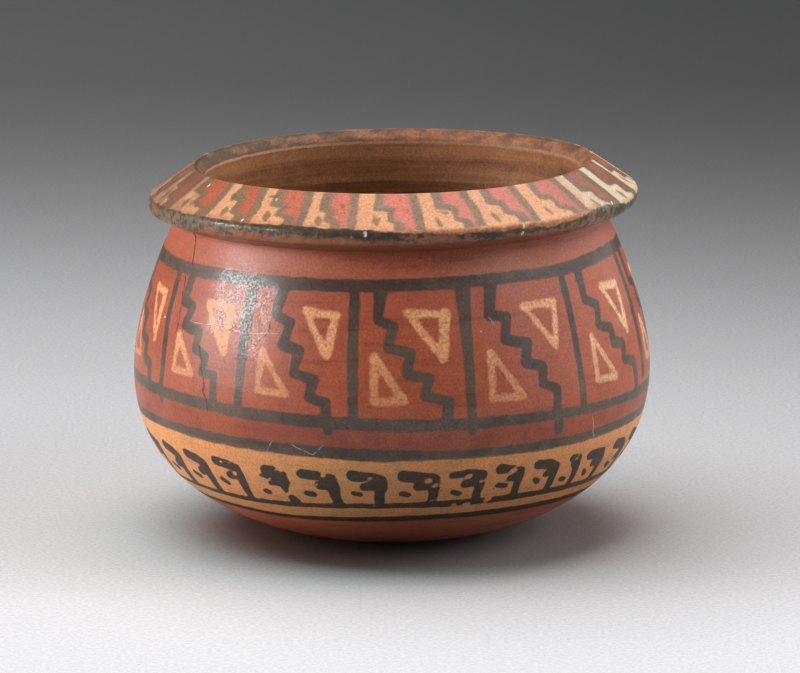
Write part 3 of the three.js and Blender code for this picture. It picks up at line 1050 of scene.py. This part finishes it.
wallFinish = {
    "redSlip": (142, 70, 47),
    "neckSlip": (154, 84, 63),
    # The strip between the lower bands is a darker slip, painted darker still as painted shade on the lower
    # belly
    "stripSlipAndShade": (119, 57, 39),
    # The base's slip is browner, and also painted lighter as a painted fill light on the shaded underside
    "baseSlipAndFillLight": (168, 93, 62),
    "warmSlip": (147, 73, 46),
    "deepSlip": (118, 52, 36),
    "darkPaint": (50, 43, 37),
    "darkWorn": (82, 72, 60),
    "darkDeep": (34, 29, 25),
    "buffPaint": (188, 132, 85),
    "buffWarm": (200, 126, 76),
    "buffDeep": (150, 102, 64),
    "palePaint": (204, 142, 98),
    "creamPaint": (200, 162, 124),
    "blackPaint": (33, 28, 24),
    "pit": (46, 26, 20),
    "chalk": (226, 200, 176),
    "neckOver": (46.2, 47.6),  # heights in mm over which one look gives way to the next
    "baseUnder": (7.0, 10.0),
    "smoothUnder": (5.0, 12.0),
    "paleThinUnder": (31.0, 38.0),
    "polishOver": (16.0, 32.0),
    "polishUnder": (46.0, 48.5),
    "creamFrom": (20.0, 36.0),  # mm to the right over which the pale paint turns to cream
    # Wobble and softness of each paint's edge, and how dry its brush was
    "brushes": {"buffPaint": (0.25, 0.14, 0.05), "darkPaint": (0.26, 0.2, 0.14),
                "palePaint": (0.34, 0.28, 0.66), "blackPaint": (0.28, 0.12, 0.08)},
    "crackWidth": 0.22,
    "scratchWidth": 0.12,
    "grain": 0.2,
    "sheen": 0.38,
    "polish": 0.9,  # crisp reflection on slip and dark paint, broken up by the grain
    "polishRoughness": 0.13,
    "slipRoughness": 0.42,
}


def wallMaterial():
    material, tree, shader, look, level, place, streak = startMaterial("slipped_wall", "level", wallFinish)
    hollow = attribute(tree, "hollow")
    main = layOver(tree, stretch(tree, level, *look["neckOver"]), look["redSlip"], look["neckSlip"])
    # Darker slip on the strip under the lower band, partly painted shade
    main = layOver(tree, stretch(tree, attribute(tree, "underBand"), -0.4, 0.4), main, look["stripSlipAndShade"])
    # Browner slip below the base band, painted lighter as a painted fill light
    main = layOver(tree, stretch(tree, level, *look["baseUnder"], 1.0, 0.0), main, look["baseSlipAndFillLight"])
    slip = coat(tree, place, streak, main, look["warmSlip"], look["deepSlip"], 0.6, 0.7)
    buff = coat(tree, place, streak, look["buffPaint"], look["buffWarm"], look["buffDeep"], 0.5, 0.4)
    dark = coat(tree, place, streak, look["darkPaint"], look["darkWorn"], look["darkDeep"], 0.7, 0.6)
    flecks = stretch(tree, noise(tree, place, 3.2, 3.0, 0.7), 0.54, 0.7, 0.0, 0.4)
    dark = layOver(tree, flecks, dark["Colour"], look["darkWorn"])
    black = layOver(tree, times(tree, flecks, 0.6), look["blackPaint"], look["darkWorn"])
    right = put(tree, "SeparateXYZ", {0: place}).outputs[0]
    pale = layOver(tree, stretch(tree, right, *look["creamFrom"]), look["palePaint"], look["creamPaint"])
    marks = brushMarks(tree, place, streak, look)
    cover = stretch(tree, level, *look["paleThinUnder"], 0.68, 1.0)
    marks["palePaint"] = times(tree, marks["palePaint"], cover)
    colour = layOver(tree, marks["buffPaint"], slip["Colour"], buff["Colour"])
    colour = layOver(tree, times(tree, marks["darkPaint"], 0.96), colour, dark)
    colour = layOver(tree, marks["palePaint"], colour, pale)
    colour = layOver(tree, times(tree, marks["blackPaint"], 0.97), colour, black)
    colour = layOver(tree, hollow, colour, wipedClay(tree, place, streak, streak, look))
    colour = useGroup(tree, grainGroup, Colour=colour, Place=place, Strength=look["grain"])["Colour"]
    pits = useGroup(tree, speckGroup, Place=place, Scale=0.75, Share=0.22, Size=0.13)["Mask"]
    flaws = larger(tree, pits, hairMask(tree, "crack", place, look["crackWidth"]))
    colour = layOver(tree, times(tree, flaws, 0.75), colour, look["pit"])
    elsewhere = moved(tree, place, (31, 7, 13))  # so that the specks don't fall on the pits
    specks = useGroup(tree, speckGroup, Place=elsewhere, Scale=0.2, Share=0.07, Size=0.05)["Mask"]
    # Pale scratch lines, with the painted highlight edge on the left shoulder among them
    scratchesAndHighlightEdge = hairMask(tree, "scratch", place, look["scratchWidth"])
    chalk = larger(tree, times(tree, specks, 0.8), times(tree, scratchesAndHighlightEdge, 0.3))
    colour = layOver(tree, chalk, colour, look["chalk"])

    # Paints are rougher and stand a little proud, and the shoulder's slip and dark paint are polished most
    matt = larger(tree, marks["blackPaint"], times(tree, marks["buffPaint"], 0.8))
    matt = larger(tree, marks["palePaint"], matt)
    rough = stretch(tree, matt, 0, 1, look["slipRoughness"], look["paintRoughness"], smooth=False)
    rough = stretch(tree, hollow, 0, 1, rough, look["clayRoughness"], smooth=False)
    rough = plus(tree, rough, times(tree, waver(tree, place, 0.8, 3.0), 0.16))
    polish = times(tree, stretch(tree, noise(tree, place, 2.8, 4.0, 0.8), 0.44, 0.58, 0.04, 1.0),
                   stretch(tree, level, *look["polishOver"], 0.25, 1.0),
                   stretch(tree, level, *look["polishUnder"], 1.0, 0.3),
                   stretch(tree, marks["darkPaint"], 0, 1, 0.72, 1.0),
                   stretch(tree, noise(tree, place, 0.22, 3.0, 0.6), 0.38, 0.58, 0.45, 1.0),
                   stretch(tree, matt, 0, 1, look["polish"], 0.3))
    polish = stretch(tree, hollow, 0, 1, polish, 0.0)
    height = plus(tree, slip["Height"], times(tree, larger(tree, marks["darkPaint"], matt), 0.02))
    height = minus(tree, height, times(tree, flaws, 0.07))
    height = times(tree, height, stretch(tree, level, *look["smoothUnder"], 0.3, 1.0))
    return finishMaterial(material, tree, shader, colour, rough, polish, height)


rimFinish = {
    "pinkSlip": (178, 102, 86),
    "orangeSlip": (152, 80, 56),
    "deepSlip": (128, 62, 46),
    "greyPaint": (102, 96, 76),
    "greyDeep": (88, 78, 60),
    "peachPaint": (194, 142, 104),
    "worn": (196, 116, 82),  # slip showing through the pale paint
    "creamPaint": (190, 172, 144),
    "eyePaint": (84, 74, 58),
    "edgePaint": (50, 42, 33),
    "edgeDusty": (96, 82, 66),
    "edgeWorn": (128, 78, 54),
    "lipClay": (134, 88, 64),
    "lipSooty": (74, 54, 39),
    "throatWornAndShine": (164, 122, 92),
    "darkening": (84, 60, 46),
    "pit": (40, 26, 20),
    "chalk": (224, 204, 184),
    "brushes": {"greyPaint": (0.5, 0.34, 0.4), "palePaint": (0.42, 0.26, 0.3), "eyePaint": (0.26, 0.22, 0.3),
                "chalk": (0.2, 0.15, 0.2)},
    "grain": 0.26,
    "sheen": 0.22,
    "polish": 0.9,  # on the worn dark edge only
    "polishRoughness": 0.19,
    "slipRoughness": 0.4,
    "bandsAcross": 0.05,  # how closely the throat's wiped bands follow each other, across and up
    "bandsUp": 13.0,
}


def rimMaterial():
    material, tree, shader, look, slope, place, streak = startMaterial("painted_rim_slip", "slope", rimFinish)
    creaminess, soot = attribute(tree, "creaminess"), attribute(tree, "soot")
    wear, dust = attribute(tree, "edgeWear"), attribute(tree, "edgeDust")
    clouds = noise(tree, place, 0.3, 4.0, 0.6)
    flakes = noise(tree, place, 0.9, 5.0, 0.7)
    smear = noise(tree, streak, 0.6, 4.0, 0.65)
    ragged = times(tree, waver(tree, place, 0.6, 4.0, 0.6), 0.15)

    # Motifs on the slope, darker towards the two sides
    main = layOver(tree, attribute(tree, "pinkness"), look["orangeSlip"], look["pinkSlip"])
    slip = coat(tree, place, streak, main, look["orangeSlip"], look["deepSlip"], 0.3, 0.4)
    grey = coat(tree, place, streak, look["greyPaint"], look["greyDeep"], look["eyePaint"], 0.6, 0.6)
    marks = brushMarks(tree, place, streak, look)
    mottled = stretch(tree, noise(tree, place, 1.1, 5.0, 0.75), 0.46, 0.64, 0.0, 0.6)
    pale = layOver(tree, mottled, look["peachPaint"], look["worn"])
    pale = layOver(tree, creaminess, pale, look["creamPaint"])
    # Mixed towards a dark brown, most at the two sides of the rim
    darkened = times(tree, attribute(tree, "darkening"), stretch(tree, clouds, 0.3, 0.6, 0.5, 1.0))
    darkenedPale = times(tree, darkened, minus(tree, 1.0, times(tree, creaminess, 0.85)))
    colour = layOver(tree, times(tree, marks["greyPaint"], 0.92), slip["Colour"], grey["Colour"])
    colour = layOver(tree, times(tree, darkened, 0.8), colour, look["darkening"])
    colour = layOver(tree, marks["palePaint"], colour, layOver(tree, darkenedPale, pale, look["darkening"]))
    colour = layOver(tree, times(tree, marks["eyePaint"], 0.8), colour, look["eyePaint"])

    # Dark outer edge, dusty, worn through in patches and bare below
    past = plus(tree, attribute(tree, "pastEdge"), ragged)
    rubbed = times(tree, stretch(tree, past, -0.12, -0.03), stretch(tree, flakes, 0.35, 0.6, 0.5, 1.2))
    colour = layOver(tree, maths(tree, "MULTIPLY", rubbed, wear, clamp=True), colour, look["edgeWorn"])
    dusty = times(tree, stretch(tree, flakes, 0.4, 0.58, 0.15, 1.0), stretch(tree, dust, 0, 1, 0.25, 1.0))
    edgeColour = layOver(tree, dusty, look["edgePaint"], look["edgeDusty"])
    lost = plus(tree, times(tree, smear, 0.5), times(tree, flakes, 0.5),
                times(tree, wear, stretch(tree, past, 0.0, 0.14), 0.2))
    edgeColour = layOver(tree, stretch(tree, lost, 0.56, 0.64, 0.0, 0.85), edgeColour, look["edgeWorn"])
    lowEdge = minus(tree, plus(tree, past, times(tree, clouds, 0.2)), times(tree, dust, 0.11))
    edgeColour = layOver(tree, stretch(tree, lowEdge, 0.25, 0.37), edgeColour, look["edgeWorn"])
    colour = layOver(tree, stretch(tree, past, -0.01, 0.03), colour, edgeColour)

    # Lip, sooty in places, with crumbs and a dark crest
    lipEdge = plus(tree, slope, times(tree, ragged, 0.3))
    lip = stretch(tree, lipEdge, -0.01, 0.03, 1.0, 0.0)
    rubs = stretch(tree, noise(tree, streak, 1.9, 4.0, 0.7), 0.36, 0.64)
    sooty = maths(tree, "ADD", times(tree, rubs, 0.9), minus(tree, soot, 0.5), clamp=True)
    lipColour = layOver(tree, sooty, look["lipClay"], look["lipSooty"])
    lipColour = layOver(tree, stretch(tree, flakes, 0.54, 0.7, 0.0, 0.45), lipColour, look["eyePaint"])
    crest = times(tree, stretch(tree, lipEdge, -0.09, -0.03), stretch(tree, smear, 0.4, 0.5), soot)
    lipColour = layOver(tree, crest, lipColour, look["bareDeep"])
    crumbs = useGroup(tree, speckGroup, Place=place, Scale=1.1, Share=0.2, Size=0.3)["Mask"]
    crumbs = times(tree, crumbs, stretch(tree, smear, 0.5, 0.6, 0.0, 0.6))
    colour = layOver(tree, lip, colour, layOver(tree, crumbs, lipColour, look["throatWornAndShine"]))

    # Bare inner side, with a pale line just below the lip: worn clay, and a painted highlight where the ridge
    # catches the light
    inner = stretch(tree, lipEdge, -0.36, -0.2, 1.0, 0.0)
    bands = useGroup(tree, placeGroup, Level=slope, Across=look["bandsAcross"], Up=look["bandsUp"])["Streak"]
    colour = layOver(tree, inner, colour, wipedClay(tree, place, streak, bands, look))
    throat = stretch(tree, maths(tree, "ABSOLUTE", plus(tree, lipEdge, 0.3)), 0.012, 0.04, 1.0, 0.0)
    colour = layOver(tree, times(tree, throat, attribute(tree, "throatShine")), colour, look["throatWornAndShine"])
    colour = useGroup(tree, grainGroup, Colour=colour, Place=place, Strength=look["grain"])["Colour"]
    pits = useGroup(tree, speckGroup, Place=place, Scale=0.55, Share=0.2, Size=0.12)["Mask"]
    colour = layOver(tree, times(tree, pits, 0.7), colour, look["pit"])
    colour = layOver(tree, marks["chalk"], colour, look["chalk"])

    painted = larger(tree, marks["greyPaint"], marks["palePaint"])
    rough = stretch(tree, painted, 0, 1, look["slipRoughness"], look["paintRoughness"], smooth=False)
    rough = stretch(tree, lip, 0, 1, rough, look["clayRoughness"], smooth=False)
    polish = times(tree, stretch(tree, past, 0, 0.04),
                   stretch(tree, noise(tree, place, 2.6, 4.0, 0.8), 0.46, 0.58),
                   stretch(tree, noise(tree, place, 0.2, 3.0, 0.6), 0.46, 0.56, 0.12, 1.0), look["polish"])
    height = plus(tree, slip["Height"], times(tree, painted, 0.025))
    height = minus(tree, height, times(tree, pits, 0.07))
    return finishMaterial(material, tree, shader, colour, rough, polish, height)


wallPiece.data.materials.append(wallMaterial())
rimPiece.data.materials.append(rimMaterial())
for piece, node, slotName in ((wallPiece, "bowl_body", "slipped_clay"), (rimPiece, "rim_band", "rim_slip")):
    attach(piece, "root")
    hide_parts(node)
print("materials made:", [material.name for material in bpy.data.materials])


# Floor, lights and camera, in metres

studio = {
    "floorHalf": 3.0,
    # How bright the paper is painted at a distance from its centre: a painted pool of light in front of the
    # vessel that falls off behind, with the vessel's side shadow painted in as darker tones at its depth
    "floorPaintedLight": [(0.045, 0.83), (0.069, 0.8), (0.094, 0.69), (0.122, 0.62), (0.182, 0.575), (0.215, 0.55),
                   (0.252, 0.48), (0.291, 0.41), (0.333, 0.33), (0.38, 0.25), (0.43, 0.187), (0.486, 0.14),
                   (0.548, 0.111), (0.616, 0.094), (1.5, 0.08)],
    "floorCentreY": -0.12,
    "floorSideways": 0.35,  # a metre sideways counts as this, so the tones lie in wide ellipses
    # Painted light: the far floor is painted brighter on the left than on the right
    "floorPaintedLean": 0.38,  # how much brighter the left of the far floor is than its right
    "floorLeanHalf": 0.15,
    "floorLeanFrom": (0.12, 0.38),
    "fibreScale": 1500,
    "shadeCentre": (-0.01, -0.004, 0),
    "shadeReach": (0.026, 0.05),
    "shadeTint": (0.87, 0.985, 1.0, 1),  # takes the vessel's own red out of its shadow
    "bounce": 0.42,  # floor's own colour to the light that it passes on
    "target": (0, 0, 0.030),
    "distance": 0.8,
    "elevation": 11.47,
    "lens": 221.04,
    "photoWidth": 800,  # pixels
    "shiftPixels": (8.03, 6.52),
    "air": (0.9, 0.95, 1, 1),
    "airStrength": 0.1,
}


def aim(thing, position, target):
    thing.location = position
    thing.rotation_euler = (Vector(target) - Vector(position)).to_track_quat("-Z", "Y").to_euler()


def makeFloor():
    plane = bmesh.new()
    bmesh.ops.create_grid(plane, x_segments=1, y_segments=1, size=studio["floorHalf"])
    mesh = bpy.data.meshes.new("studio_floor")
    plane.to_mesh(mesh)
    plane.free()
    floor = linkObject("studio_floor", mesh)
    material = bpy.data.materials.new("paper_with_painted_light")
    material.use_nodes = True
    tree = material.node_tree
    tree.nodes.clear()
    # The paper's colour carries painted light and shadow: a bright pool in front, darker behind and at the
    # vessel's depth, brighter to the left far off
    position = objectPlace(tree)
    spot = put(tree, "SeparateXYZ", {0: position}).outputs
    across = times(tree, spot[0], studio["floorSideways"])
    along = minus(tree, spot[1], studio["floorCentreY"])
    away = maths(tree, "SQRT", plus(tree, times(tree, across, across), times(tree, along, along)))
    reach = studio["floorPaintedLight"][-1][0]
    ramp = put(tree, "ValToRGB", {0: maths(tree, "DIVIDE", away, reach)})
    stops = ramp.color_ramp.elements
    for i, (out, bright) in enumerate(studio["floorPaintedLight"]):
        stop = stops[i] if i < 2 else stops.new(out / reach)
        stop.position = out / reach
        stop.color = (bright, bright * 0.995, bright * 1.01, 1)
    half, lean = studio["floorLeanHalf"], studio["floorPaintedLean"] / 2
    lean = times(tree, stretch(tree, spot[0], -half, half, lean, -lean),
                 stretch(tree, away, *studio["floorLeanFrom"]))
    fibre = stretch(tree, noise(tree, position, studio["fibreScale"], 2.0, 0.7), 0.3, 0.7, 0.91, 1.09)
    toned = scaled(tree, ramp.outputs["Color"], times(tree, plus(tree, lean, 1.0), fibre))
    beside = put(tree, "VectorMath", {0: position, 1: studio["shadeCentre"]}, operation="DISTANCE")
    beneath = stretch(tree, beside.outputs["Value"], *studio["shadeReach"], 1.0, 0.0)
    toned = layOver(tree, beneath, toned, studio["shadeTint"], "MULTIPLY")
    seen = put(tree, "LightPath", {}).outputs
    mirrored = larger(tree, seen["Is Glossy Ray"], seen["Is Transmission Ray"])
    shown = larger(tree, seen["Is Camera Ray"], mirrored)
    colour = layOver(tree, shown, (studio["bounce"],) * 3 + (1,), toned)
    shader = put(tree, "BsdfPrincipled", {"Base Color": colour, "Roughness": 0.9, "Specular IOR Level": 0.1})
    put(tree, "OutputMaterial", {0: shader.outputs[0]})
    mesh.materials.append(material)
    return floor


def makeLamp(name, direction, distance, width, height, power, lights, mirrored=True):
    lamp = bpy.data.lights.new(name, "AREA")
    lamp.shape = "RECTANGLE"
    lamp.size, lamp.size_y, lamp.energy = width, height, power
    holder = linkObject(name, lamp)
    centre = Vector(studio["target"])
    aim(holder, centre + Vector(direction).normalized() * distance, centre)
    holder.light_linking.receiver_collection = lights
    holder.visible_glossy = mirrored


def makeWorld():
    world = bpy.data.worlds.new("studio_air")
    bpy.context.scene.world = world
    world.use_nodes = True
    feed(world.node_tree, world.node_tree.nodes["Background"], {0: studio["air"], 1: studio["airStrength"]})


def makeCamera():
    lens = bpy.data.cameras.new("photo_camera")
    lens.sensor_width, lens.lens = 36, studio["lens"]
    lens.shift_x, lens.shift_y = [shift / studio["photoWidth"] for shift in studio["shiftPixels"]]
    lens.clip_start, lens.clip_end = 0.05, 20
    camera = linkObject("photo_camera", lens)
    rise = math.radians(studio["elevation"])
    back = Vector((0, -math.cos(rise), math.sin(rise)))
    aim(camera, Vector(studio["target"]) + back * studio["distance"], studio["target"])
    bpy.context.scene.camera = camera


def receivers(name, things):
    collection = bpy.data.collections.new(name)
    for thing in things:
        collection.objects.link(thing)
    return collection


# Each lamp: direction from the vessel, distance, width, height, watts, what it lights, if gloss mirrors it
floorOnly = receivers("floor_light", [makeFloor()])
vesselOnly = receivers("vessel_light", [wallPiece, rimPiece])
makeLamp("floor_overhead", (-0.24, 0.16, 1), 1.0, 1.35, 1.25, 15.4, floorOnly)
makeLamp("floor_fill", (0.85, -0.1, 0.5), 1.0, 0.6, 0.6, 1.6, floorOnly)
makeLamp("overhead", (0.42, 0.07, 1), 1.0, 1.4, 1.25, 16.5, vesselOnly)
makeLamp("left_softbox", (-0.932, -0.215, 0.335), 0.9, 0.54, 0.26, 5.7, vesselOnly)
makeLamp("left_screen", (-0.95, 0.3, 0.12), 1.0, 1.2, 0.9, 6.0, vesselOnly, mirrored=False)
makeLamp("left_card", (-0.99, -0.12, 0.16), 1.0, 0.6, 0.7, 8.5, vesselOnly, mirrored=False)
makeLamp("left_glow", (-0.96, -0.22, 0.12), 1.0, 0.8, 0.6, 3.0, vesselOnly)
makeLamp("right_wall", (1, -0.05, 0.22), 1.0, 2.0, 1.8, 20.0, vesselOnly, mirrored=False)
makeLamp("right_glow", (0.95, 0.2, 0.28), 1.0, 1.9, 1.5, 7.0, vesselOnly)
makeWorld()
makeCamera()
bpy.context.scene.view_settings.view_transform = "Standard"
